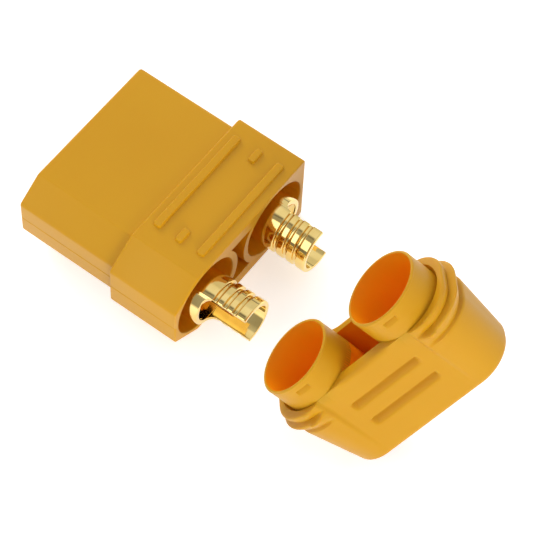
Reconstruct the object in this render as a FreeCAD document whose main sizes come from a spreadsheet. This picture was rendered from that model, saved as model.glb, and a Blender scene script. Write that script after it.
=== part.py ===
import FreeCAD, Part
import math
import os
import Sketcher

# Two-pole flat battery connector with female contacts and its wire cap taken off.
# Millimetres. +X runs from the mating face back to the wires, +Y across, +Z up.
# The origin is the centre of the mating face, on the height of the two contacts.

SIZES = {
    # housing
    "housing_width": 21.0,
    "housing_height": 9.8,
    "nose_length": 12.0,
    "block_length": 8.2,
    "side_step": 0.8,
    "top_step": 0.7,
    "nose_chamfer_across": 3.0,
    "nose_chamfer_down": 2.0,
    "block_chamfer_across": 3.6,
    "block_chamfer_down": 2.3,
    "housing_edge_round": 0.25,
    "contact_pitch": 11.2,
    "rear_bore_radius": 4.35,
    "rear_bore_depth": 4.5,
    "waist_wall": 0.75,
    "waist_half_height": 3.2,
    "waist_depth": 4.0,
    "bar_width": 0.9,
    "bar_height": 0.35,
    "bar_left_margin": 5.75,
    "bar_right_margin": 2.05,
    "front_bar_inset": 0.9,
    "rear_bar_inset": 1.05,
    "dash_length": 1.35,
    "dash_width": 0.7,
    "dash_inset": 4.5,
    # contacts
    "socket_outer_radius": 3.0,
    "socket_bore_radius": 2.25,
    "socket_recess": 0.6,
    "socket_bore_depth": 11.0,
    "socket_lead_in": 0.35,
    "collar_radius": 3.5,
    "collar_length": 1.3,
    "contact_clearance": 0.05,
    "cup_outer_radius": 2.83,
    "cup_bore_radius": 2.3,
    "cup_reach": 5.65,
    "cup_bore_depth": 4.85,
    "drill_point_slope": 0.6,
    "window_start": 0.4,
    "window_offset": 0.73,
    "window_corner": 0.9,
    "window_turn": 10.0,
    "ring_groove_width": 0.45,
    "ring_groove_depth": 0.2,
    "ring_spacing": 1.17,
    "ring_first": 1.98,
    "cup_end_chamfer": 0.15,
    # wire cap
    "plug_clearance": 0.27,
    "tube_wall": 0.3,
    "tube_length": 2.98,
    "cap_length": 12.93,
    "cap_front_half_thickness": 4.45,
    "cap_rear_half_thickness": 3.8,
    "cap_corner_round": 3.6,
    "core_half_width": 10.4,
    "core_length": 2.62,
    "skirt_front_half_width": 10.65,
    "skirt_rear_half_width": 9.65,
    "panel_half_width": 5.85,
    "panel_depth": 0.12,
    "small_ring_half_width": 10.68,
    "small_ring_start": 0.0,
    "small_ring_width": 1.05,
    "large_ring_half_width": 11.1,
    "large_ring_start": 1.15,
    "large_ring_width": 1.45,
    "ring_half_thickness": 4.62,
    "ring_flank": 0.3,
    "ring_corner_round": 3.1,
    "slot_half_height": 3.3,
    "slot_depth": 4.6,
    "cap_bore_depth": 5.5,
    "exit_radius": 3.1,
    "grip_half_length": 4.1,
    "grip_depth": 0.45,
    "grip_width": 2.0,
    "grip_floor_width": 0.34,
    "grip_first": 6.0,
    "grip_spacing": 2.7,
    "notch_length": 0.5,
    "notch_width": 1.3,
    "notch_depth": 0.15,
    "notch_place": 0.95,
    "cap_rear_round": 0.5,
    # how far cutting shapes reach past what they cut
    "overshoot": 1.0,
    # where the cap lies beside the housing
    "cap_forward": 35.21,
    "cap_across": -5.285,
    "cap_yaw": 21.2,
    "cap_pitch": 40.6,
    "cap_roll": 63.8,
}

doc = FreeCAD.newDocument("battery_connector")
sheet = doc.addObject("Spreadsheet::Sheet", "sizes")
for row, (alias, value) in enumerate(SIZES.items(), start=1):
    sheet.set("A%d" % row, alias)
    sheet.set("B%d" % row, str(value))
    sheet.setAlias("B%d" % row, alias)
doc.recompute()


def named(text):
    """Write a formula in size names so that the sheet's cells are found."""
    words = []
    word = ""
    for letter in text + " ":
        if letter.isalnum() or letter == "_":
            word += letter
        else:
            words.append("sizes." + word if word in SIZES else word)
            words.append(letter)
            word = ""
    return "".join(words).strip()


def worth(text):
    """The number that a formula in size names gives now."""
    value = sheet.evalExpression(named(text))
    return float(getattr(value, "Value", value))


def bind(thing, path, text):
    thing.setExpression(path, named(text))


HOUSING_LENGTH = "(nose_length + block_length)"
FLOOR_PLACE = "(nose_length + block_length - rear_bore_depth)"
TUBE_RADIUS = "(rear_bore_radius - plug_clearance)"
PLANES = {"front": "YZ_Plane", "top": "XY_Plane", "side": "XZ_Plane"}
# two places nearer than this are one place
SAME_PLACE = 0.0001


def new_body(name):
    body = doc.addObject("PartDesign::Body", name)
    body.Label = name
    return body


def new_sketch(body, name, plane, lift="0"):
    """A sketch on one of the body's origin planes, lifted off it by a formula."""
    sketch = body.newObject("Sketcher::SketchObject", name)
    role = PLANES[plane]
    datum = [f for f in body.Origin.OriginFeatures if f.Role == role][0]
    sketch.AttachmentSupport = [(datum, "")]
    sketch.MapMode = "FlatFace"
    bind(sketch, "AttachmentOffset.Base.z", lift)
    sketch.recompute()
    return sketch


def pin_point(sketch, edge, end, x, y):
    """Tie one point of a sketch to two formulas measured from its origin."""
    for kind, text in (("DistanceX", x), ("DistanceY", y)):
        index = sketch.addConstraint(Sketcher.Constraint(kind, -1, 1, edge, end, worth(text)))
        bind(sketch, "Constraints[%d]" % index, text)


def add_circle(sketch, x, y, radius):
    centre = FreeCAD.Vector(worth(x), worth(y), 0)
    edge = sketch.addGeometry(Part.Circle(centre, FreeCAD.Vector(0, 0, 1), worth(radius)), False)
    pin_point(sketch, edge, 3, x, y)
    index = sketch.addConstraint(Sketcher.Constraint("Radius", edge, worth(radius)))
    bind(sketch, "Constraints[%d]" % index, radius)


def add_outline(sketch, corners, arcs=None):
    """A closed outline through corners; arcs maps a corner's number to the centre of the
    arc that leaves it, as (x, y, turns left)."""
    arcs = arcs or {}
    spots = [FreeCAD.Vector(worth(x), worth(y), 0) for x, y in corners]
    ends = []
    for i, start in enumerate(spots):
        stop = spots[(i + 1) % len(spots)]
        if i not in arcs:
            edge = sketch.addGeometry(Part.LineSegment(start, stop), False)
            ends.append((edge, 1, 2))
            continue
        x, y, left = arcs[i]
        centre = FreeCAD.Vector(worth(x), worth(y), 0)
        first, last = (start, stop) if left else (stop, start)
        circle = Part.Circle(centre, FreeCAD.Vector(0, 0, 1), (start - centre).Length)
        low = math.atan2(first.y - centre.y, first.x - centre.x)
        high = math.atan2(last.y - centre.y, last.x - centre.x)
        edge = sketch.addGeometry(Part.ArcOfCircle(circle, low, high), False)
        ends.append((edge, 1, 2) if left else (edge, 2, 1))
    for i, (edge, start, stop) in enumerate(ends):
        after, after_start, _ = ends[(i + 1) % len(ends)]
        sketch.addConstraint(Sketcher.Constraint("Coincident", edge, stop, after, after_start))
    for i, (x, y) in enumerate(corners):
        pin_point(sketch, ends[i][0], ends[i][1], x, y)
    for i, (x, y, left) in arcs.items():
        index = sketch.addConstraint(Sketcher.Constraint("DistanceX", -1, 1, ends[i][0], 3, worth(x)))
        bind(sketch, "Constraints[%d]" % index, x)


def rectangle(sketch, x, y, length, width):
    add_outline(sketch, [
        (x, y),
        (x + " + " + length, y),
        (x + " + " + length, y + " + " + width),
        (x, y + " + " + width),
    ])


def extrude(body, kind, name, sketch, length, reverse=False, both=False):
    """A Pad or Pocket of a sketch whose depth is a formula."""
    feature = body.newObject("PartDesign::" + kind, name)
    feature.Profile = sketch
    feature.Type = 0
    bind(feature, "Length", length)
    feature.Reversed = reverse
    feature.Midplane = both
    doc.recompute()
    return feature


def round_edges(body, name, radius, chosen):
    """Fillet the edges of the body's tip that a test picks out."""
    base = body.Tip
    picked = ["Edge%d" % (i + 1) for i, edge in enumerate(base.Shape.Edges) if chosen(edge)]
    feature = body.newObject("PartDesign::Fillet", name)
    feature.Base = (base, picked)
    bind(feature, "Radius", radius)
    doc.recompute()
    return feature


def spans(edge, axis):
    """Low and high end of an edge along axis 0, 1 or 2."""
    box = edge.BoundBox
    return ((box.XMin, box.XMax), (box.YMin, box.YMax), (box.ZMin, box.ZMax))[axis]


def lies_at(edge, axis, place):
    """Whether a whole edge lies at one place along axis 0, 1 or 2."""
    return all(abs(end - place) < SAME_PLACE for end in spans(edge, axis))


def keyed_outline(half_width, half_height, across, down):
    """Outline of the housing: square corners on +Y, chamfered corners on -Y."""
    return [
        (half_width, "-" + half_height),
        (half_width, half_height),
        ("-" + half_width + " + " + across, half_height),
        ("-" + half_width, half_height + " - " + down),
        ("-" + half_width, "-" + half_height + " + " + down),
        ("-" + half_width + " + " + across, "-" + half_height),
    ]


def waist_outline(sketch, half_height, radius):
    """Space between two round walls of one radius that stand a contact pitch apart."""
    inner = "(contact_pitch / 2 - sqrt(%s ^ 2 - %s ^ 2))" % (radius, half_height)
    corners = [
        ("-" + inner, "-" + half_height),
        (inner, "-" + half_height),
        (inner, half_height),
        ("-" + inner, half_height),
    ]
    arcs = {
        1: ("contact_pitch / 2", "0", False),
        3: ("-contact_pitch / 2", "0", False),
    }
    add_outline(sketch, corners, arcs)


def build_housing():
    body = new_body("housing")
    nose_half_width = "(housing_width / 2 - side_step)"
    nose_half_height = "(housing_height / 2 - top_step)"

    block = new_sketch(body, "block_outline", "front", "nose_length")
    add_outline(block, keyed_outline("(housing_width / 2)", "(housing_height / 2)",
                                     "block_chamfer_across", "block_chamfer_down"))
    extrude(body, "Pad", "block", block, "block_length")
    rear = worth(HOUSING_LENGTH)
    round_edges(body, "block_edges", "housing_edge_round", lambda edge: not lies_at(edge, 0, rear))

    nose = new_sketch(body, "nose_outline", "front")
    add_outline(nose, keyed_outline(nose_half_width, nose_half_height,
                                    "nose_chamfer_across", "nose_chamfer_down"))
    extrude(body, "Pad", "nose", nose, "nose_length")
    round_edges(body, "nose_edges", "housing_edge_round", lambda edge: spans(edge, 0)[0] < SAME_PLACE)

    for name, radius, start, depth in (
        ("rear_bores", "rear_bore_radius", HOUSING_LENGTH, "rear_bore_depth"),
        ("collar_seats", "collar_radius + contact_clearance", FLOOR_PLACE, "collar_length"),
        ("socket_holes", "socket_outer_radius + contact_clearance",
         FLOOR_PLACE + " - collar_length", FLOOR_PLACE),
    ):
        holes = new_sketch(body, name + "_outline", "front", start)
        for side in ("-", ""):
            add_circle(holes, side + "contact_pitch / 2", "0", radius)
        extrude(body, "Pocket", name, holes, depth)

    waist = new_sketch(body, "waist_outline", "front", HOUSING_LENGTH)
    waist_outline(waist, "waist_half_height", "(rear_bore_radius + waist_wall)")
    extrude(body, "Pocket", "waist", waist, "waist_depth")

    bars = new_sketch(body, "bar_outlines", "top", "housing_height / 2")
    bar_start = "-housing_width / 2 + bar_left_margin"
    bar_stop = "housing_width / 2 - bar_right_margin"
    bar_length = "(housing_width - bar_left_margin - bar_right_margin)"
    for place in ("nose_length + front_bar_inset", HOUSING_LENGTH + " - rear_bar_inset - bar_width"):
        rectangle(bars, place, bar_start, "bar_width", bar_length)
    for place in (bar_start, bar_stop + " - dash_length"):
        rectangle(bars, HOUSING_LENGTH + " - dash_inset", place, "dash_width", "dash_length")
    extrude(body, "Pad", "bars", bars, "bar_height")
    return body


def build_contact(name, side, turn):
    """Turned contact: a socket for the mating bullet, a collar and a slotted solder cup."""
    body = new_body(name)
    floor = FLOOR_PLACE
    end = "(%s + cup_reach)" % HOUSING_LENGTH
    collar = "(%s - collar_length)" % floor
    socket_bottom = "(socket_recess + socket_bore_depth)"
    cup_bottom = "(%s - cup_bore_depth)" % end
    corners = [
        ("socket_recess", "socket_bore_radius + socket_lead_in"),
        ("socket_recess", "socket_outer_radius"),
        (collar, "socket_outer_radius"),
        (collar, "collar_radius"),
        (floor, "collar_radius"),
        (floor, "cup_outer_radius"),
    ]
    for number in range(3):
        middle = "(%s + ring_first + %d * ring_spacing)" % (HOUSING_LENGTH, number)
        half = "ring_groove_width / 2"
        slope = "ring_groove_depth / 2"
        low = "cup_outer_radius - ring_groove_depth"
        corners += [
            (middle + " - " + half, "cup_outer_radius"),
            (middle + " - " + half + " + " + slope, low),
            (middle + " + " + half + " - " + slope, low),
            (middle + " + " + half, "cup_outer_radius"),
        ]
    corners += [
        (end + " - cup_end_chamfer", "cup_outer_radius"),
        (end, "cup_outer_radius - cup_end_chamfer"),
        (end, "cup_bore_radius"),
        (cup_bottom, "cup_bore_radius"),
        (cup_bottom + " - cup_bore_radius * drill_point_slope", "0"),
        (socket_bottom + " + socket_bore_radius * drill_point_slope", "0"),
        (socket_bottom, "socket_bore_radius"),
        ("socket_recess + socket_lead_in", "socket_bore_radius"),
    ]
    profile = new_sketch(body, name + "_profile", "side")
    add_outline(profile, corners)
    turned = body.newObject("PartDesign::Revolution", name + "_turned")
    turned.Profile = profile
    turned.ReferenceAxis = (profile, ["H_Axis"])
    turned.Angle = 360
    doc.recompute()

    window = new_sketch(body, name + "_window_outline", "top")
    start = "(%s + window_start)" % HOUSING_LENGTH
    beyond = "(cup_outer_radius + overshoot)"
    add_outline(window, [
        (start + " + window_corner", "window_offset"),
        (end + " + overshoot", "window_offset"),
        (end + " + overshoot", beyond),
        (start, beyond),
        (start, "window_offset + window_corner"),
    ], {4: (start + " + window_corner", "window_offset + window_corner", True)})
    extrude(body, "Pocket", name + "_window", window, "3 * cup_outer_radius", both=True)

    place = FreeCAD.Vector(0, side * worth("contact_pitch") / 2, 0)
    spin = FreeCAD.Rotation(FreeCAD.Vector(1, 0, 0), turn + worth("window_turn"))
    body.Placement = FreeCAD.Placement(place, spin)
    return body


def cap_outline(sketch, half_width, half_height, corner):
    """Rectangle with rounded corners, centred between the two tubes."""
    flat_end = "(%s - %s)" % (half_width, corner)
    side_end = "(%s - %s)" % (half_height, corner)
    corners = [
        ("-" + flat_end, "-" + half_height),
        (flat_end, "-" + half_height),
        (half_width, "-" + side_end),
        (half_width, side_end),
        (flat_end, half_height),
        ("-" + flat_end, half_height),
        ("-" + half_width, side_end),
        ("-" + half_width, "-" + side_end),
    ]
    arcs = {
        1: (flat_end, "-" + side_end, True),
        3: (flat_end, side_end, True),
        5: ("-" + flat_end, side_end, True),
        7: ("-" + flat_end, "-" + side_end, True),
    }
    add_outline(sketch, corners, arcs)


def loft(body, name, sections):
    """Straight-sided loft through cap outlines: (place, half width, half thickness, corner)."""
    sketches = []
    for number, (place, half_width, half_height, corner) in enumerate(sections, start=1):
        sketch = new_sketch(body, "%s_%d" % (name, number), "front", place)
        cap_outline(sketch, half_width, half_height, corner)
        sketches.append(sketch)
    feature = body.newObject("PartDesign::AdditiveLoft", name)
    feature.Profile = sketches[0]
    feature.Sections = sketches[1:]
    feature.Ruled = True
    doc.recompute()
    return feature


def build_cap():
    body = new_body("cap")
    front = "tube_length"
    middle = "(tube_length + core_length)"
    taper = "((cap_front_half_thickness - cap_rear_half_thickness) / (cap_length - tube_length))"
    middle_height = "(cap_front_half_thickness - core_length * %s)" % taper

    loft(body, "core", [
        (front, "core_half_width", "cap_front_half_thickness", "cap_corner_round"),
        (middle, "core_half_width", middle_height, "cap_corner_round"),
    ])
    loft(body, "skirt", [
        (middle, "skirt_front_half_width", middle_height, "cap_corner_round"),
        ("cap_length", "skirt_rear_half_width", "cap_rear_half_thickness", "cap_corner_round"),
    ])
    rear = worth("cap_length")
    round_edges(body, "rear_edge", "cap_rear_round", lambda edge: lies_at(edge, 0, rear))

    for name, corner in (("small_ring", "cap_corner_round"), ("large_ring", "ring_corner_round")):
        start = "(tube_length + %s_start)" % name
        stop = "(%s + %s_width)" % (start, name)
        root = "core_half_width"
        crest = name + "_half_width"
        loft(body, name, [
            (start, root, "(ring_half_thickness - ring_flank)", corner),
            (start + " + ring_flank", crest, "ring_half_thickness", corner),
            (stop + " - ring_flank", crest, "ring_half_thickness", corner),
            (stop, root, "(ring_half_thickness - ring_flank)", corner),
        ])

    panels = new_sketch(body, "panel_profile", "side")
    for side in ("", "-"):
        corners = []
        rear_end = "cap_length + overshoot"
        for place, lift in (("0", "overshoot"), ("0", "0"), (rear_end, "0"), (rear_end, "overshoot")):
            face = "cap_front_half_thickness - panel_depth - (%s - tube_length) * %s" % (place, taper)
            corners.append((place, "%s(%s + %s)" % (side, face, lift)))
        add_outline(panels, corners)
    extrude(body, "Pocket", "panels", panels, "2 * panel_half_width", both=True)

    tubes = new_sketch(body, "tube_outline", "front")
    for side in ("-", ""):
        add_circle(tubes, side + "contact_pitch / 2", "0", TUBE_RADIUS)
    extrude(body, "Pad", "tubes", tubes, "tube_length")

    for name, radius, depth in (
        ("tube_bores", TUBE_RADIUS + " - tube_wall", "cap_bore_depth"),
        ("wire_exits", "exit_radius", "cap_length"),
    ):
        holes = new_sketch(body, name + "_outline", "front")
        for side in ("-", ""):
            add_circle(holes, side + "contact_pitch / 2", "0", radius)
        extrude(body, "Pocket", name, holes, depth, reverse=True)

    slot = new_sketch(body, "slot_outline", "front", "tube_length")
    waist_outline(slot, "slot_half_height", TUBE_RADIUS)
    extrude(body, "Pocket", "slot", slot, "slot_depth", reverse=True)

    grips = new_sketch(body, "grip_profile", "side")
    for number in range(2):
        place = "(grip_first + %d * grip_spacing)" % number
        face = "(cap_front_half_thickness - (%s - tube_length) * %s)" % (place, taper)
        for side in ("", "-"):
            low = "%s(%s - grip_depth)" % (side, face)
            high = "%s(%s + grip_depth)" % (side, face)
            add_outline(grips, [
                (place + " - grip_width / 2", high),
                (place + " - grip_floor_width / 2", low),
                (place + " + grip_floor_width / 2", low),
                (place + " + grip_width / 2", high),
            ])
    extrude(body, "Pocket", "grips", grips, "2 * grip_half_length", both=True)

    notches = new_sketch(body, "notch_outline", "top", TUBE_RADIUS + " - notch_depth")
    for side in ("-", ""):
        rectangle(notches, "notch_place", side + "contact_pitch / 2 - notch_width / 2",
                  "notch_length", "notch_width")
    extrude(body, "Pocket", "notches", notches, "notch_depth + overshoot", reverse=True)
    return body


def place_cap(cap):
    """Lay the cap beside the housing, its lowest point level with the housing's underside."""
    turn = FreeCAD.Rotation(worth("cap_yaw"), worth("cap_pitch"), worth("cap_roll"))
    cap.Placement = FreeCAD.Placement(FreeCAD.Vector(0, 0, 0), turn)
    doc.recompute()
    lowest = cap.Shape.optimalBoundingBox().ZMin
    spot = FreeCAD.Vector(worth("cap_forward"), worth("cap_across"), worth("-housing_height / 2") - lowest)
    cap.Placement = FreeCAD.Placement(spot, turn)


housing = build_housing()
contacts = [build_contact("left_contact", -1, 180.0), build_contact("right_contact", 1, 0.0)]
cap = build_cap()
place_cap(cap)
doc.recompute()

for thing in doc.Objects:
    if "Invalid" in thing.State or "Error" in thing.State:
        raise RuntimeError("%s is not built: %s" % (thing.Label, thing.State))

os.makedirs("parts", exist_ok=True)
for piece in [housing] + contacts + [cap]:
    shape = piece.Shape
    if shape.isNull() or not shape.isValid() or len(shape.Solids) != 1:
        raise RuntimeError("%s is not one valid solid" % piece.Label)
    shape.exportStep("parts/%s.step" % piece.Label)
    box = shape.optimalBoundingBox()
    print("%-14s %8.1f mm3  X %.2f..%.2f  Y %.2f..%.2f  Z %.2f..%.2f" % (
        piece.Label, shape.Volume, box.XMin, box.XMax, box.YMin, box.YMax, box.ZMin, box.ZMax))
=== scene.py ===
import bpy, bmesh, math
from mathutils import Vector, Matrix, Euler
from mathutils.geometry import tessellate_polygon


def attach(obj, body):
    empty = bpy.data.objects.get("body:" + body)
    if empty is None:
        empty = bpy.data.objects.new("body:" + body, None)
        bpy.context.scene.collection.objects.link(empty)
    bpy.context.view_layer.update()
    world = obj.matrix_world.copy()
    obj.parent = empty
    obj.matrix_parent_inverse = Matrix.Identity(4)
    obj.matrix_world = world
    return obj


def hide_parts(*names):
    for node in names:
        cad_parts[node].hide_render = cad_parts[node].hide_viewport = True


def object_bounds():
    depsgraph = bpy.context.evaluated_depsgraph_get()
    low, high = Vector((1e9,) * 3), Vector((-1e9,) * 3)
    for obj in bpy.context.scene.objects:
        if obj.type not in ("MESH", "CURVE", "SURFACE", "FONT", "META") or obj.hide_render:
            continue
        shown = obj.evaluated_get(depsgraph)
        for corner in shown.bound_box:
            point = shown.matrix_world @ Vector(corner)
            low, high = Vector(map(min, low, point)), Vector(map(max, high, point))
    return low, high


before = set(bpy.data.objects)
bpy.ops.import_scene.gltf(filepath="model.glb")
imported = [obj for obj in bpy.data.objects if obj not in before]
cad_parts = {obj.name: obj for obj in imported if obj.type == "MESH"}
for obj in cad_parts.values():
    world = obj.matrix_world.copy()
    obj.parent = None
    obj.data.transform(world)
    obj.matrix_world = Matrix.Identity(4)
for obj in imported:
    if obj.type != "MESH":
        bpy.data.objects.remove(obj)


def box_list(box):
    return [[float(x) for x in corner] for corner in box]


cad_bounds = box_list(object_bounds())

# Sizes up here are in mm and follow the CAD source, and a mesh is scaled to metres when it is
# made. The floor, the lamps and the camera are placed in metres.
MM = 0.001
MERGE_DISTANCE = 0.004
SHARP_ANGLE = 32.0
PITCH = 11.2
SPOTS = (-PITCH / 2, PITCH / 2)
NOSE_LENGTH, BLOCK_LENGTH = 12.0, 8.2
REAR = NOSE_LENGTH + BLOCK_LENGTH
FLOOR = REAR - 4.5
COLLAR = FLOOR - 1.3

# housing: its two outlines, with chamfered corners on -Y that reach across and down
NOSE = dict(width=19.4, height=8.4, across=3.0, down=2.0)
BLOCK = dict(width=21.0, height=9.8, across=3.6, down=2.3)
CORNER, SMALLEST_CORNER, CORNER_STEPS = 0.4, 0.03, 5
FRONT_ROUND, STEP_ROUND, REAR_ROUND = 0.35, 0.22, 0.14
# (distance in front of the step, inset) where the nose flares into the block
NOSE_FOOT = ((0.12, 0), (0.03, -0.03), (0, -0.12))
# (height, depth) across the parting line on the -Y flat
PARTING_LINE = ((0.09, 0.0), (0.03, 0.05), (-0.03, 0.05), (-0.09, 0.0))
SOCKET_HOLE, SOCKET_LIP = 3.05, 0.15
BORE, CUP_HOLE = 4.35, 2.84
# (distance in front of the rear face, distance out from the bore's wall)
BORE_LIP = ((0, 0.12), (0.03, 0.04), (0.12, 0))
# (distance behind the bore's floor, distance in from its wall)
BORE_FOOT = ((0.25, 0), (0.07, 0.07), (0, 0.25))
WAIST_WALL, WAIST_HALF_HEIGHT, WAIST_DEPTH = 0.75, 3.2, 4.0

# raised bars: (start, end) along X, and the range of Y that the long ones cover
FRONT_BAR = (NOSE_LENGTH + 0.9, NOSE_LENGTH + 1.8)
REAR_BAR = (REAR - 1.95, REAR - 1.05)
DASH = (REAR - 4.52, REAR - 3.74)
BARS_FROM, BARS_TO = -BLOCK["width"] / 2 + 5.75, BLOCK["width"] / 2 - 2.05
DASH_LENGTH, DASH_OVERHANG = 1.6, 0.1
BAR_BASE, BAR_HEIGHT = BLOCK["height"] / 2 - 0.01, 0.34
BAR_EDGE, BAR_FOOT, BAR_FOOT_RISE, BAR_FLANK = 0.13, 0.08, 0.6, 0.02
BAR_CORNER, SMALLEST_BAR_CORNER = 0.25, 0.05

# contacts: profiles are (x, radius)
LATHE_STEPS = 144
CUP, CUP_END = 2.83, REAR + 5.65
SOCKET_AND_COLLAR = [(0.6, 2.62), (0.62, 2.9), (0.72, 3.0), (COLLAR, 3.0), (COLLAR, 3.42),
                     (FLOOR - 1.22, 3.5), (FLOOR - 0.08, 3.5), (FLOOR, 3.42), (FLOOR, CUP)]
SOCKET_BORE, SOCKET_POINT = [(0.95, 2.25), (11.6, 2.25)], 12.95
CUP_BORE, CUP_POINT = [(CUP_END - 4.85, 2.3)], CUP_END - 6.23
# (distance before the cup's end, radius) round its mouth, from the outside to the bore
CUP_MOUTH = ((0.22, 2.83), (0.18, 2.83), (0.08, 2.8), (0.02, 2.74), (0, 2.66), (0, 2.4),
             (0.03, 2.34), (0.1, 2.3))
FIRST_GROOVE, GROOVE_SPACING, GROOVE_COUNT = REAR + 1.98, 1.17, 3
# (distance from the groove's middle, depth); the outer rows keep the cup's reflections straight
GROOVE = ((0.37, 0), (0.33, 0), (0.28, 0.015), (0.24, 0.06), (0.2, 0.16), (0.16, 0.235),
          (0.1, 0.265))
# the window starts 0.5 mm further back than in the CAD, as it seems to in the photo
WINDOW_START, WINDOW_OFFSET, WINDOW_CORNER = REAR + 0.9, 0.73, 0.9
KNIFE_REACH, KNIFE_BEYOND = 4.0, 1
SOFT_EDGE, SOFT_ANGLE = 0.05, 50

# wire cap, in its own frame: x rearward from the rims, y along the two tubes, z up from the flat
CAP_SPOT = (35.12, -5.32, 10.34)
CAP_TURN = (63.8, 40.6, 21.2)
CAP_FRONT, CAP_REAR = 2.9, 13.06
CAP_HALF_HEIGHT, CAP_THINNING, CAP_CORNER, CAP_EDGE = 4.45, 0.65, 3.55, 0.5
# (x, half width) of the ends: the plain taper, then the line over a low ridge, a groove and a
# high ridge that slopes away
TAPER = [(2.9, 10.42), (5.55, 10.42), (6.0, 10.58), (CAP_REAR, 9.62)]
RIDGES = [(2.9, 10.46), (3.0, 10.58), (3.15, 10.62), (3.4, 10.6), (3.7, 10.5), (3.85, 10.42),
          (3.95, 10.3), (4.02, 10.5), (4.12, 10.95), (4.25, 11.13), (4.4, 11.1), (4.7, 10.9),
          (5.1, 10.62), (5.4, 10.34), (5.55, 10.25), (5.65, 10.36), (5.8, 10.56), (6.0, 10.6),
          (CAP_REAR, 9.62)]
# a FADE is the range of y, or of x for the swelling, over which a form runs out
RIDGE_FADE, RIDGE_ON_ROUND, ROUND_FROM, FLAT_FROM = (5.7, 7.4), 0.6, 0.25, 0.97
# (x, depth) of the sunk panel on each flat
PANEL = [(CAP_FRONT, 0.42), (7.0, 0.26), (11.5, 0.05), (CAP_REAR, 0.0)]
PANEL_FADE = (5.55, 6.1)
TIP_LENGTH, TIP_DROP, TIP_FADE = 0.6, 0.55, (2.2, 3.6)
SWELL, SWELL_FADE = 4.11, (CAP_FRONT + 0.1, 5.0)
GRIP_STARTS, GRIP_WIDTH, GRIP_DEPTH, GRIP_FADE = (5.6, 8.35), 1.3, 0.62, (3.7, 4.25)
GRIP_STEEP, GRIP_SLOW, GRIP_EASE = 0.3, 0.45, 0.8
FLAT_STEPS, ROUND_STEPS, END_STEPS = 70, 26, 5
# (x, inset) of the first outlines, and the spacing of the others: fine where there are forms
CAP_START = [(2.9, 0.1), (2.92, 0.04), (2.97, 0.0)]
BODY_FROM, BODY_TO = 3.03, CAP_REAR - 0.55
FINE, COARSE, FINE_UNTIL, FINE_AGAIN = 0.06, 0.22, 7.0, (8.35, 9.75)
TUBE, TUBE_BORE, TUBE_BOTTOM, TUBE_FILLET = 4.08, 3.78, 5.5, 0.25
EXIT, EXIT_CHAMFER = 3.1, 0.15
TUBE_STEPS, WALL_TOP, WALL_STEPS, WALL_OVERLAP = 160, 0.34, 52, 0.6
# (x, distance out from the tube's wall or bore) round its rim
RIM_OUTSIDE = ((0.3, -0.012), (0.27, 0), (0.14, 0.012), (0.07, -0.02), (0.02, -0.07), (0.0, -0.13))
RIM_INSIDE = ((0.0, 0.1), (0.03, 0.03))
NOTCH_RISE, NOTCH_END, NOTCH_LENGTH, NOTCH_DEPTH = (0.68, 0.84), 1.37, 0.53, 0.3
NOTCH_SIDE, NOTCH_WALL, NOTCH_FROM = (0.62, 0.76), 0.2, 0.3
SLOT_ROOF, SLOT_SILL, SLOT_DEPTH = 2.75, 2.9, 4.6
V_WIDTH, V_DEPTH = 0.085, 0.55


class Mesh:
    """Collects points in mm and faces, then makes one smooth-shaded object."""

    def __init__(self):
        self.points = []
        self.faces = []

    def ring(self, points):
        start = len(self.points)
        self.points += [tuple(p) for p in points]
        return list(range(start, start + len(points)))

    def skin(self, rings):
        """Bands of faces between closed rings that have the same number of points."""
        made = [self.ring(r) for r in rings]
        for a, b in zip(made, made[1:]):
            for i in range(len(a)):
                j = (i + 1) % len(a)
                self.faces.append((a[i], a[j], b[j], b[i]))
        return made

    def close(self, ring, tip):
        """Cone from a ring to one point."""
        k = self.ring([tip])[0]
        for i in range(len(ring)):
            self.faces.append((ring[i], ring[(i + 1) % len(ring)], k))

    def fill(self, loops):
        """Flat face with holes; loops are lists of points, the outer one first."""
        ids = self.ring([p for loop in loops for p in loop])
        for tri in tessellate_polygon([[Vector(p) for p in loop] for loop in loops]):
            self.faces.append(tuple(ids[i] for i in tri))

    def make(self, name, place=Matrix.Identity(4), angle=SHARP_ANGLE):
        mesh = bpy.data.meshes.new(name)
        mesh.from_pydata([place @ Vector(p) * MM for p in self.points], [], self.faces)
        bm = bmesh.new()
        bm.from_mesh(mesh)
        bmesh.ops.remove_doubles(bm, verts=bm.verts, dist=MERGE_DISTANCE * MM)
        bmesh.ops.recalc_face_normals(bm, faces=bm.faces)
        bm.to_mesh(mesh)
        bm.free()
        mesh.shade_smooth()
        mesh.set_sharp_from_angle(angle=math.radians(angle))
        thing = bpy.data.objects.new(name, mesh)
        bpy.context.scene.collection.objects.link(thing)
        return thing


def angles(steps, first=0.0, sweep=math.pi / 2):
    """Even angles over a sweep, with both ends."""
    return [first + sweep * k / steps for k in range(steps + 1)]


def circle(x, cy, r, n=96):
    """Ring of points about the line along X at y = cy and z = 0."""
    return [(x, cy + r * math.cos(2 * math.pi * i / n), r * math.sin(2 * math.pi * i / n))
            for i in range(n)]


def smooth(a, b, t):
    """Soft step from 0 at a to 1 at b."""
    t = min(1.0, max(0.0, (t - a) / (b - a)))
    return t * t * (3 - 2 * t)


def lerp(points, x):
    """Piecewise straight line through (x, y) points."""
    if x <= points[0][0]:
        return points[0][1]
    for (x0, y0), (x1, y1) in zip(points, points[1:]):
        if x <= x1:
            return y0 + (y1 - y0) * (x - x0) / (x1 - x0)
    return points[-1][1]


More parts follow.
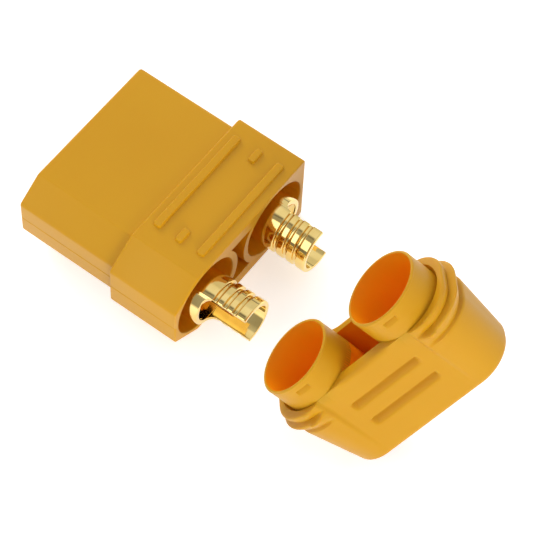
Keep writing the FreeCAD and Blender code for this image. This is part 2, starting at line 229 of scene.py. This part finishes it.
def keyed(x, inset, shape):
    """Housing outline at x, drawn in by inset: square on +Y, chamfered on -Y, corners rounded."""
    w, h = shape["width"] / 2, shape["height"] / 2
    across, down = shape["across"], shape["down"]
    corners = [(w, -h), (w, h), (-w + across, h), (-w, h - down), (-w, -h + down),
               (-w + across, -h)]
    sides = []
    for a, b in zip(corners, corners[1:] + corners[:1]):
        along = (Vector(b) - Vector(a)).normalized()
        sides.append((Vector(a) + Vector((-along.y, along.x)) * inset, along))
    points = []
    for i, (q, e) in enumerate(sides):
        p, d = sides[i - 1]
        cross = d.x * e.y - d.y * e.x
        corner = p + d * (((q.x - p.x) * e.y - (q.y - p.y) * e.x) / cross)
        turn = math.acos(max(-1.0, min(1.0, d.dot(e))))
        r = max(SMALLEST_CORNER, CORNER - inset)
        centre = corner - d * (r * math.tan(turn / 2)) + Vector((-d.y, d.x)) * r
        for a in angles(CORNER_STEPS, math.atan2(-d.x, d.y), turn):
            points.append((x, centre.x + r * math.cos(a), centre.y + r * math.sin(a)))
        if corners[i] == (-w, h - down):  # the -Y flat starts here
            points += [(x, -w + inset + deep, z) for z, deep in PARTING_LINE]
    return points


def housing():
    m, inside = Mesh(), Mesh()
    rings = []
    for a in reversed(angles(5)):
        rings.append(keyed(FRONT_ROUND * (1 - math.sin(a)), FRONT_ROUND * (1 - math.cos(a)), NOSE))
    for before, inset in NOSE_FOOT:
        rings.append(keyed(NOSE_LENGTH - before, inset, NOSE))
    for a in angles(4):
        rings.append(keyed(NOSE_LENGTH + STEP_ROUND * (1 - math.cos(a)),
                           STEP_ROUND * (1 - math.sin(a)), BLOCK))
    for a in angles(3):
        rings.append(keyed(REAR - REAR_ROUND * (1 - math.sin(a)),
                           REAR_ROUND * (1 - math.cos(a)), BLOCK))
    m.skin(rings)

    # front face with the two socket holes
    mouths = [circle(0, y, SOCKET_HOLE + SOCKET_LIP) for y in SPOTS]
    m.fill([rings[0]] + mouths)
    for y, mouth in zip(SPOTS, mouths):
        m.skin([mouth, circle(SOCKET_LIP, y, SOCKET_HOLE), circle(COLLAR, y, SOCKET_HOLE)])

    # rear face with the two bores and the waist pocket between them
    waist = []
    big = BORE + WAIST_WALL
    inner = math.asin(WAIST_HALF_HEIGHT / big)
    for side in (1, -1):
        for a in angles(16, -inner, 2 * inner):
            waist.append((side * (SPOTS[1] - big * math.cos(a)), side * big * math.sin(a)))
    waist_mouth = [(REAR, y, z) for y, z in waist]
    waist_end = [(REAR - WAIST_DEPTH, y, z) for y, z in waist]
    lips = [[circle(REAR - before, y, BORE + out) for before, out in BORE_LIP] for y in SPOTS]
    m.fill([rings[-1]] + [lip[0] for lip in lips] + [waist_mouth])
    for y, lip in zip(SPOTS, lips):
        m.skin(lip)
        foot = [circle(FLOOR + behind, y, BORE - inward) for behind, inward in BORE_FOOT]
        inside.skin([lip[-1]] + foot + [circle(FLOOR, y, CUP_HOLE)])
    inside.skin([waist_mouth, waist_end])
    inside.fill([waist_end])
    return m.make("housing_shell"), inside.make("housing_bores")


def add_bar(m, x0, x1, y0, y1):
    """Raised bar with a rounded crest and a small foot running out into the face."""
    profile = [(-BAR_FOOT + BAR_FOOT * math.sin(a), BAR_FOOT * (1 - math.cos(a)) * BAR_FOOT_RISE)
               for a in angles(3)]
    profile += [(BAR_EDGE * (1 - math.cos(a)) + BAR_FLANK,
                 BAR_HEIGHT - BAR_EDGE * (1 - math.sin(a))) for a in angles(5)]
    rings = []
    for inset, lift in profile:
        r = max(SMALLEST_BAR_CORNER, BAR_CORNER - inset)
        left, right, near, far = x0 + inset + r, x1 - inset - r, y0 + inset + r, y1 - inset - r
        ring = []
        for cx, cy, first in ((right, far, 0), (left, far, 90), (left, near, 180),
                              (right, near, 270)):
            for degrees in range(first, first + 91, 15):
                a = math.radians(degrees)
                ring.append((cx + r * math.cos(a), cy + r * math.sin(a), BAR_BASE + lift))
        rings.append(ring)
    m.skin(rings)
    m.fill([rings[-1]])


def raised_bars():
    m = Mesh()
    add_bar(m, *FRONT_BAR, BARS_FROM, BARS_TO)
    add_bar(m, *REAR_BAR, BARS_FROM, BARS_TO)
    add_bar(m, *DASH, BARS_FROM - DASH_OVERHANG, BARS_FROM + DASH_LENGTH)
    add_bar(m, *DASH, BARS_TO - DASH_LENGTH, BARS_TO + DASH_OVERHANG)
    return m.make("raised_bars")


def window_knife():
    """Block that cuts the side of a solder cup open, with one rounded corner."""
    shape = [(CUP_END + KNIFE_BEYOND, WINDOW_OFFSET), (CUP_END + KNIFE_BEYOND, KNIFE_REACH),
             (WINDOW_START, KNIFE_REACH)]
    for a in angles(12, math.pi):
        shape.append((WINDOW_START + WINDOW_CORNER + WINDOW_CORNER * math.cos(a),
                      WINDOW_OFFSET + WINDOW_CORNER + WINDOW_CORNER * math.sin(a)))
    low = [(x, y, -KNIFE_REACH) for x, y in shape]
    high = [(x, y, KNIFE_REACH) for x, y in shape]
    m = Mesh()
    m.skin([low, high])
    m.fill([low])
    m.fill([high])
    return m.make("knife")


def cut_window(body):
    """Opens the window and softens the sharp edges, with the result applied to the mesh."""
    knife = window_knife()
    boolean = body.modifiers.new("window", "BOOLEAN")
    boolean.operation = "DIFFERENCE"
    boolean.solver = "EXACT"
    boolean.object = knife
    bevel = body.modifiers.new("soften", "BEVEL")
    bevel.width = SOFT_EDGE * MM
    bevel.segments = 2
    bevel.limit_method = "ANGLE"
    bevel.angle_limit = math.radians(SOFT_ANGLE)
    bevel.use_clamp_overlap = False
    view = bpy.context.evaluated_depsgraph_get()
    baked = bpy.data.meshes.new_from_object(body.evaluated_get(view))
    body.modifiers.clear()
    body.data = baked
    bpy.data.objects.remove(knife)
    baked.shade_smooth()
    baked.set_sharp_from_angle(angle=math.radians(SHARP_ANGLE))
    return baked


def add_turned(m, profile, point):
    """Surface turned about the X axis, ending in a drill point."""
    made = m.skin([circle(x, 0, r, LATHE_STEPS) for x, r in profile])
    m.close(made[-1], (point, 0, 0))


def contact(name, spot, turn):
    """Turned gold contact, built about its own axis with the window towards +Y, then placed."""
    outer = list(SOCKET_AND_COLLAR)
    for k in range(GROOVE_COUNT):
        middle = FIRST_GROOVE + GROOVE_SPACING * k
        outer += [(middle - away, CUP - deep) for away, deep in GROOVE]
        outer += [(middle + away, CUP - deep) for away, deep in reversed(GROOVE)]
    outer += [(CUP_END - before, r) for before, r in CUP_MOUTH]
    m = Mesh()
    add_turned(m, outer + CUP_BORE, CUP_POINT)
    add_turned(m, outer[:1] + SOCKET_BORE, SOCKET_POINT)
    body = m.make(name, angle=30)
    turned = Matrix.Rotation(math.radians(turn), 4, "X")
    cut_window(body).transform(Matrix.Translation((0, spot * MM, 0)) @ turned)
    return body


def grip(x):
    """Depth of the grip grooves at x: each is steep at its front and runs out slowly."""
    for start in GRIP_STARTS:
        d = x - start
        if 0 < d < GRIP_WIDTH:
            slow = 1 - smooth(GRIP_SLOW, GRIP_WIDTH, d) ** GRIP_EASE
            return GRIP_DEPTH * (smooth(0, GRIP_STEEP, d) * slow)
    return 0.0


def cap_section(x, inset):
    """Outline at x, with ridges on the ends and grip grooves in the sunk panel of each flat."""
    taper = lerp(TAPER, x)
    w = taper - inset
    h = CAP_HALF_HEIGHT - (x - CAP_FRONT) * CAP_THINNING / (CAP_REAR - CAP_FRONT) - inset
    corner = CAP_CORNER - inset
    ridge = lerp(RIDGES, x) - taper
    sunk = lerp(PANEL, x)
    tip = max(0.0, 1 - (x - CAP_FRONT) / TIP_LENGTH)
    tip = TIP_DROP * (1 - math.sqrt(1 - tip * tip))

    # a quarter of the plain outline, as y, z and the outward direction
    quarter = [((w - corner) * k / FLAT_STEPS, h, 0.0, 1.0) for k in range(FLAT_STEPS)]
    for k in range(ROUND_STEPS + 1):
        a = math.pi / 2 * (1 - k / ROUND_STEPS)
        quarter.append((w - corner + corner * math.cos(a), h - corner + corner * math.sin(a),
                        math.cos(a), math.sin(a)))
    for k in range(1, END_STEPS + 1):
        quarter.append((w, (h - corner) * (1 - k / END_STEPS), 1.0, 0.0))

    half = []
    for y, z, out_y, out_z in quarter:
        grow = ridge * smooth(*RIDGE_FADE, y)
        if out_z > FLAT_FROM:
            grow -= sunk * (1 - smooth(*PANEL_FADE, y))
            grow -= tip * (1 - smooth(*TIP_FADE, y))
            # each tube runs on for a little way as a faint swelling of the flat
            swell = math.sqrt(max(0.0, SWELL ** 2 - (y - SPOTS[1]) ** 2)) - (z + grow)
            if swell > 0:
                grow += swell * (1 - smooth(*SWELL_FADE, x))
            grow -= grip(x) * (1 - smooth(*GRIP_FADE, y))
        share = RIDGE_ON_ROUND if grow > 0 and out_y > ROUND_FROM else 1.0
        half.append((y + out_y * grow, z + out_z * grow * share))
    half += [(y, -z) for y, z in reversed(half[:-1])]
    half += [(-y, z) for y, z in reversed(half[1:-1])]
    return [(x, y, z) for y, z in half]


def cap_stations():
    """(x, inset) of each outline of the cap's body, from front to rear."""
    stations = list(CAP_START)
    x = BODY_FROM
    while x < BODY_TO:
        stations.append((x, 0.0))
        x += FINE if x < FINE_UNTIL or FINE_AGAIN[0] < x < FINE_AGAIN[1] else COARSE
    for a in angles(7):
        stations.append((CAP_REAR - CAP_EDGE + CAP_EDGE * math.sin(a),
                         CAP_EDGE * (1 - math.cos(a))))
    return stations


def add_cap_front(m, inside, body_ring):
    """Front face round the tubes, with a V groove beside them, and the slot between them."""
    first, last = math.asin(SLOT_ROOF / TUBE), math.asin(SLOT_SILL / TUBE)

    def round_tubes(steps, start, sweep):
        """(y, z) along an arc on the +Y tube, then back along its mirror image on the other."""
        arc = [(SPOTS[1] + TUBE * math.cos(a), TUBE * math.sin(a))
               for a in angles(steps, start, sweep)]
        return arc + [(-y, z) for y, z in reversed(arc)]

    rim, foot = [], []
    for y, z in round_tubes(96, last - math.pi, 2 * math.pi - first - last):
        outward = max(0.0, (abs(y) - SPOTS[1]) / TUBE)
        grow = 1 + V_WIDTH * outward
        middle = math.copysign(SPOTS[1], y)
        rim.append((CAP_FRONT, middle + (y - middle) * grow, z * grow))
        foot.append((CAP_FRONT + V_DEPTH * outward ** 0.5, y, z))
    m.fill([body_ring, rim])
    m.skin([rim, foot])

    waist = round_tubes(24, math.pi - first, first + last)
    slot_end = [(CAP_FRONT + SLOT_DEPTH, y, z) for y, z in waist]
    inside.skin([[(CAP_FRONT, y, z) for y, z in waist], slot_end])
    inside.fill([slot_end])


def tube_ring(x, r, middle):
    """Ring of a tube's wall; the outer wall has a small moulded notch on top."""
    ring = []
    for i in range(TUBE_STEPS):
        a = 2 * math.pi * i / TUBE_STEPS
        dented = r
        if r > TUBE_BORE + NOTCH_WALL and NOTCH_FROM < x < NOTCH_END and math.sin(a) > 0:
            along = smooth(*NOTCH_RISE, x) * (NOTCH_END - x) / NOTCH_LENGTH
            across = 1 - smooth(*NOTCH_SIDE, abs(r * math.cos(a)))
            dented -= NOTCH_DEPTH * along * across
        ring.append((x, middle + dented * math.cos(a), dented * math.sin(a)))
    return ring


def cap():
    m, inside = Mesh(), Mesh()
    rings = [cap_section(x, inset) for x, inset in cap_stations()]
    m.skin(rings)
    add_cap_front(m, inside, rings[0])

    # tubes with a soft rim, and the wire channels
    wall = [(CAP_FRONT + WALL_OVERLAP, TUBE)]
    wall += [(CAP_FRONT + (WALL_TOP - CAP_FRONT) * k / WALL_STEPS, TUBE)
             for k in range(WALL_STEPS + 1)]
    wall += [(x, TUBE + out) for x, out in RIM_OUTSIDE]
    wall += [(x, TUBE_BORE + out) for x, out in RIM_INSIDE]
    channel = [wall[-1], (0.1, TUBE_BORE), (TUBE_BOTTOM - TUBE_FILLET, TUBE_BORE),
               (TUBE_BOTTOM, TUBE_BORE - TUBE_FILLET), (TUBE_BOTTOM, EXIT),
               (CAP_REAR - EXIT_CHAMFER, EXIT)]
    exits = []
    for y in SPOTS:
        m.skin([tube_ring(x, r, y) for x, r in wall])
        inside.skin([circle(x, y, r, TUBE_STEPS) for x, r in channel])
        exits.append(circle(CAP_REAR, y, EXIT + EXIT_CHAMFER, TUBE_STEPS))
        m.skin([circle(CAP_REAR - EXIT_CHAMFER, y, EXIT, TUBE_STEPS), exits[-1]])
    m.fill([rings[-1]] + exits)

    turned = Euler([math.radians(a) for a in CAP_TURN]).to_matrix().to_4x4()
    place = Matrix.Translation(CAP_SPOT) @ turned
    return m.make("wire_cap", place, angle=34), inside.make("wire_cap_bores", place, angle=34)


def new_material(name):
    mat = bpy.data.materials.new(name)
    mat.use_nodes = True
    return mat, mat.node_tree, mat.node_tree.nodes["Principled BSDF"]


def socket(node, name, value):
    node.inputs[name].default_value = value


def noise(tree, vector, scale, detail):
    node = tree.nodes.new("ShaderNodeTexNoise")
    socket(node, "Scale", scale)
    socket(node, "Detail", detail)
    tree.links.new(vector, node.inputs["Vector"])
    return node.outputs["Fac"]


def paint(tree, shader, factor, *tones):
    """Base colour between two tones, each given as (place on the ramp, colour)."""
    ramp = tree.nodes.new("ShaderNodeValToRGB")
    for stop, (place, colour) in zip(ramp.color_ramp.elements, tones):
        stop.position = place
        stop.color = (*colour, 1)
    tree.links.new(factor, ramp.inputs["Fac"])
    tree.links.new(ramp.outputs["Color"], shader.inputs["Base Color"])


def texture(tree, shader, factor, rough, strength, distance):
    """Roughness and bump from one fine pattern."""
    gloss = tree.nodes.new("ShaderNodeMapRange")
    socket(gloss, "To Min", rough[0])
    socket(gloss, "To Max", rough[1])
    tree.links.new(factor, gloss.inputs["Value"])
    tree.links.new(gloss.outputs["Result"], shader.inputs["Roughness"])
    bump = tree.nodes.new("ShaderNodeBump")
    socket(bump, "Strength", strength)
    socket(bump, "Distance", distance)
    tree.links.new(factor, bump.inputs["Height"])
    tree.links.new(bump.outputs["Normal"], shader.inputs["Normal"])


def plastic(name, light, deep, rough=(0.34, 0.46), glow=0.1):
    """Moulded nylon: slow colour drift, a fine tool texture and a little depth under the skin."""
    mat, tree, shader = new_material(name)
    where = tree.nodes.new("ShaderNodeTexCoord").outputs["Object"]
    drift = noise(tree, where, scale=90, detail=3)
    paint(tree, shader, drift, (0.32, deep), (0.68, light))
    grain = noise(tree, where, scale=5200, detail=4)
    texture(tree, shader, grain, rough, strength=0.25, distance=0.00002)
    socket(shader, "Subsurface Weight", glow)
    socket(shader, "Subsurface Radius", (1.0, 0.42, 0.06))
    socket(shader, "Subsurface Scale", 0.0018)
    socket(shader, "IOR", 1.53)
    socket(shader, "Specular IOR Level", 0.3)
    return mat


def gold(name):
    """Gold plating over turned brass, with fine rings left by the lathe."""
    mat, tree, shader = new_material(name)
    where = tree.nodes.new("ShaderNodeTexCoord").outputs["Object"]
    stretch = tree.nodes.new("ShaderNodeMapping")
    socket(stretch, "Scale", (9000, 120, 120))
    tree.links.new(where, stretch.inputs["Vector"])
    patches = noise(tree, where, scale=500, detail=2)
    paint(tree, shader, patches, (0.35, (0.84, 0.61, 0.21)), (0.7, (0.93, 0.71, 0.28)))
    rings = noise(tree, stretch.outputs["Vector"], scale=1.0, detail=3)
    texture(tree, shader, rings, (0.04, 0.1), strength=0.2, distance=0.00001)
    socket(shader, "Metallic", 1.0)
    return mat


amber = plastic("amber_nylon", (0.62, 0.305, 0.005), (0.60, 0.29, 0.004))
# painted light: the housing's bores and waist pocket get a brighter, redder amber than its
# outside, standing in for light that bounces inside them and shines through the thin walls
amber_painted_inner_light = plastic("amber_nylon_painted_inner_light", (0.76, 0.30, 0.002), (0.72, 0.28, 0.002), glow=0.24)
pale = plastic("pale_amber_nylon", (0.60, 0.296, 0.008), (0.58, 0.28, 0.006),
               rough=(0.38, 0.52), glow=0.18)
# painted light: the cap's wire channels and the slot between its tubes get a brighter, redder
# amber than its outside, standing in for light that bounces inside them and shines through the
# thin walls
pale_amber_painted_inner_light = plastic("pale_amber_nylon_painted_inner_light", (0.92, 0.31, 0.002), (0.90, 0.29, 0.002), glow=0.3)
plate = gold("gold_plating")


def dress(thing, mat, slot, *nodes):
    thing.data.materials.clear()
    thing.data.materials.append(mat)
    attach(thing, "root")
    if nodes:
        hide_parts(*nodes)


shell, bores = housing()
dress(shell, amber, "housing_plastic", "housing")
# the bores and waist pocket carry the painted inner light colour
dress(bores, amber_painted_inner_light, "housing_plastic")
dress(raised_bars(), amber, "housing_plastic")
dress(contact("left_contact_turned", SPOTS[0], 190), plate, "gold_contact", "left_contact")
dress(contact("right_contact_turned", SPOTS[1], 10), plate, "gold_contact", "right_contact")
shell, bores = cap()
dress(shell, pale, "cap_plastic", "cap")
# the channels and slot carry the painted inner light colour
dress(bores, pale_amber_painted_inner_light, "cap_plastic")


def maths(tree, operation, *values):
    """Math node on two values, each an output of another node or a number."""
    node = tree.nodes.new("ShaderNodeMath")
    node.operation = operation
    for slot, value in zip(node.inputs, values):
        if isinstance(value, float):
            slot.default_value = value
        else:
            tree.links.new(value, slot)
    return node.outputs[0]


def white_floor(reach=3, top_up=0.5):
    """Floor that keeps shadows; only camera, mirror and glass rays see its white top-up."""
    low = cad_bounds[0][2]
    mesh = bpy.data.meshes.new("floor")
    mesh.from_pydata([(-reach, -reach, low), (reach, -reach, low), (reach, reach, low),
                      (-reach, reach, low)], [], [(0, 1, 2, 3)])
    thing = bpy.data.objects.new("floor", mesh)
    bpy.context.scene.collection.objects.link(thing)
    mat, tree, shader = new_material("white_sweep")
    socket(shader, "Base Color", (0.9, 0.9, 0.9, 1))
    socket(shader, "Roughness", 0.8)
    glow = tree.nodes.new("ShaderNodeEmission")
    socket(glow, "Color", (1, 1, 1, 1))
    ray = tree.nodes.new("ShaderNodeLightPath").outputs
    mirrored = maths(tree, "MAXIMUM", ray["Is Glossy Ray"], ray["Is Transmission Ray"])
    seen = maths(tree, "MAXIMUM", ray["Is Camera Ray"], mirrored)
    tree.links.new(maths(tree, "MULTIPLY", seen, top_up), glow.inputs["Strength"])
    both = tree.nodes.new("ShaderNodeAddShader")
    tree.links.new(shader.outputs["BSDF"], both.inputs[0])
    tree.links.new(glow.outputs["Emission"], both.inputs[1])
    tree.links.new(both.outputs["Shader"], tree.nodes["Material Output"].inputs["Surface"])
    mesh.materials.append(mat)
    return thing


floor = white_floor()


def span(tree, value, low, high):
    """Place of a value between low and high, from 0 to 1."""
    node = tree.nodes.new("ShaderNodeMapRange")
    socket(node, "From Min", low)
    socket(node, "From Max", high)
    tree.links.new(value, node.inputs["Value"])
    return node.outputs["Result"]


def greys(tree, factor, levels):
    """Grey levels by one part of the direction, from -1 to 1; the end levels run on."""
    ramp = tree.nodes.new("ShaderNodeValToRGB")
    tree.links.new(factor, ramp.inputs["Fac"])
    stops = ramp.color_ramp.elements
    for place, level in levels:
        stops.new((place + 1) / 2).color = (level, level, level, 1)
    for end, level in ((0, levels[0][1]), (len(stops) - 1, levels[-1][1])):
        stops[end].color = (level, level, level, 1)
    return ramp.outputs["Color"]


def mix(tree, factor, first, second):
    """Colour mix; the node's colour sockets are inputs 6 and 7 and output 2."""
    node = tree.nodes.new("ShaderNodeMix")
    node.data_type = "RGBA"
    tree.links.new(factor, node.inputs["Factor"])
    tree.links.new(first, node.inputs[6])
    tree.links.new(second, node.inputs[7])
    return node.outputs[2]


def studio(strength=0.93):
    """Sky in grey bands by height for the gold to mirror, with a bright window over -X and -Y."""
    world = bpy.data.worlds.new("studio")
    bpy.context.scene.world = world
    world.use_nodes = True
    tree = world.node_tree
    split = tree.nodes.new("ShaderNodeSeparateXYZ")
    where = tree.nodes.new("ShaderNodeTexCoord")
    tree.links.new(where.outputs["Generated"], split.inputs[0])
    height = span(tree, split.outputs["Z"], -1, 1)
    window = greys(tree, height, [(0.07, 1.0), (0.10, 0.25), (0.34, 0.25), (0.39, 2.2),
                                  (0.81, 2.2), (0.85, 0.4), (0.93, 0.4), (0.945, 0.15),
                                  (0.97, 0.6)])
    beside = greys(tree, height, [(0.07, 1.0), (0.12, 0.4), (0.80, 0.4), (0.97, 0.6)])
    far_side = greys(tree, height, [(0.07, 1.0), (0.10, 0.85), (0.22, 0.85), (0.25, 0.3),
                                    (0.31, 0.3), (0.35, 0.85), (0.80, 0.8), (0.88, 1.0),
                                    (0.97, 1.0)])
    opening = greys(tree, span(tree, split.outputs["X"], -1, 1),
                    [(-0.6, 0), (-0.48, 1), (-0.12, 1), (0.0, 0)])
    near_side = mix(tree, opening, beside, window)
    side = span(tree, split.outputs["Y"], -0.14, -0.02)
    back = tree.nodes["Background"]
    tree.links.new(mix(tree, side, near_side, far_side), back.inputs["Color"])
    socket(back, "Strength", strength)


def lamp(name, spot, power, size=0.5, target=(0.022, -0.002, 0.0)):
    """Soft round lamp, hidden from mirror rays so that the plastic shows no haze."""
    data = bpy.data.lights.new(name, "AREA")
    data.shape = "DISK"
    data.size = size
    data.energy = power
    thing = bpy.data.objects.new(name, data)
    bpy.context.scene.collection.objects.link(thing)
    thing.location = spot
    thing.rotation_euler = (Vector(target) - Vector(spot)).to_track_quat("-Z", "Y").to_euler()
    thing.visible_glossy = False


studio()
lamp("back", (-0.85, 0.42, 0.36), 5.6)
lamp("side", (0.80, -0.55, 0.20), 6.2)

camera_data = bpy.data.cameras.new("camera")
camera_data.lens = 168.86
camera_data.sensor_width = 36
camera_data.clip_start = 0.01
camera = bpy.data.objects.new("camera", camera_data)
bpy.context.scene.collection.objects.link(camera)
camera.location = (0.09445, -0.10497, 0.21110)
camera.rotation_euler = Euler((math.radians(31.113), math.radians(-1.670), math.radians(36.875)))
bpy.context.scene.camera = camera
bpy.context.scene.view_settings.view_transform = "Standard"
